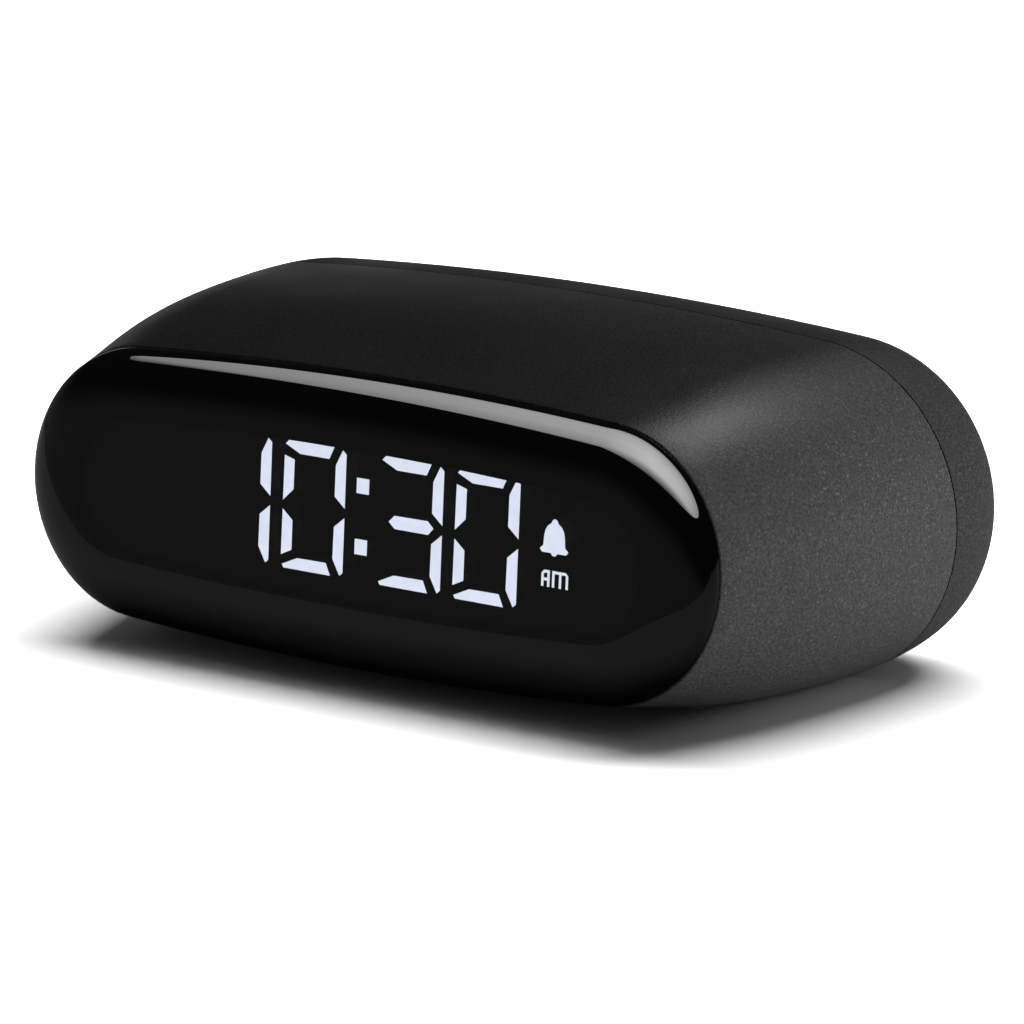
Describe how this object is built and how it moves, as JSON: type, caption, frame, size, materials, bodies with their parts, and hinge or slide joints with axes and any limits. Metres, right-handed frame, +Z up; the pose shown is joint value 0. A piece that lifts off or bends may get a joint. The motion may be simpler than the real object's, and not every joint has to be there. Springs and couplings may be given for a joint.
{
  "type": "digital alarm clock",
  "caption": "small pebble-shaped digital alarm clock with a smoked leaning front, a lit seven-segment display, push keys and a slide switch on the rear and a battery door underneath",
  "frame": {"origin": "centre of the bounding box on the table plane, at rest", "axes": "+X along the width towards the viewer's right, +Y towards the rear, +Z up; the display faces -Y"},
  "size_m": [0.1002, 0.0526, 0.0364],
  "materials": {
    "housing": "fine sand texture",
    "cover": "fine sand texture",
    "lens": "polished smoked acrylic",
    "mask": "printed black film",
    "lit": "white diffuser, lit from behind",
    "reflector": "moulded white",
    "circuit_board": "solder mask",
    "lamp": "white light-emitting diode",
    "inner_plastic": "moulded",
    "chip": "moulded package",
    "bright_metal": "plain can",
    "capacitor": "shrink sleeve",
    "copper": "copper foil",
    "spring_steel": "nickel plated",
    "key": "moulded",
    "foot": "soft rubber",
    "cell": "printed jacket",
    "door": "fine sand texture",
    "screw": "zinc plated"
  },
  "bodies": {
    "clock": {"housing_sleeve": "housing", "rear_cover": "cover", "front_lens": "lens", "display_mask": "mask", "hour_tens_segments": "lit", "hour_units_segments": "lit", "minute_tens_segments": "lit", "minute_units_segments": "lit", "colon_dots": "lit", "bell_icon": "lit", "am_mark": "lit", "segment_reflector": "reflector", "display_board": "circuit_board", "segment_lamps": "lamp", "display_carrier": "inner_plastic", "main_board": "circuit_board", "bridge_board": "circuit_board", "microcontroller": "chip", "timing_crystal": "bright_metal", "smoothing_capacitors": "capacitor", "buzzer": "inner_plastic", "touch_plate": "copper", "touch_spring": "spring_steel", "switch_bodies": "inner_plastic", "slide_switch_body": "inner_plastic", "foot_left": "foot", "foot_right": "foot", "cell_front": "cell", "cell_rear": "cell", "contact_front": "spring_steel", "contact_rear": "spring_steel", "cell_spring_front": "spring_steel", "cell_spring_rear": "spring_steel", "board_screw_left_low": "screw", "board_screw_left_high": "screw", "board_screw_right_low": "screw", "board_screw_right_high": "screw", "cover_screw_left": "screw", "cover_screw_right": "screw"},
    "set_button": {"set_button_cap": "key", "set_button_plunger": "inner_plastic"},
    "hour_button": {"hour_button_cap": "key", "hour_button_plunger": "inner_plastic"},
    "minute_button": {"minute_button_cap": "key", "minute_button_plunger": "inner_plastic"},
    "alarm_button": {"alarm_button_cap": "key", "alarm_button_plunger": "inner_plastic"},
    "alarm_switch": {"alarm_slider": "key", "slider_lever": "inner_plastic"},
    "battery_door": {"battery_door": "door"}
  },
  "joints": [
    {"name": "set_button_press", "type": "slide", "parent": "clock", "child": "set_button", "axis": [0, -1, 0], "range_m": [0, 0.0007], "stiffness_N_per_m": 250},
    {"name": "hour_button_press", "type": "slide", "parent": "clock", "child": "hour_button", "axis": [0, -1, 0], "range_m": [0, 0.0007], "stiffness_N_per_m": 250},
    {"name": "minute_button_press", "type": "slide", "parent": "clock", "child": "minute_button", "axis": [0, -1, 0], "range_m": [0, 0.0007], "stiffness_N_per_m": 250},
    {"name": "alarm_button_press", "type": "slide", "parent": "clock", "child": "alarm_button", "axis": [0, -1, 0], "range_m": [0, 0.0007], "stiffness_N_per_m": 250},
    {"name": "alarm_switch_slide", "type": "slide", "parent": "clock", "child": "alarm_switch", "axis": [-1, 0, 0], "range_m": [0, 0.003]},
    {"name": "battery_door_hinge", "type": "hinge", "parent": "clock", "child": "battery_door", "pos_m": [0, 0.0075, 0.0017], "axis": [1, 0, 0], "range_deg": [0, 80]}
  ]
}
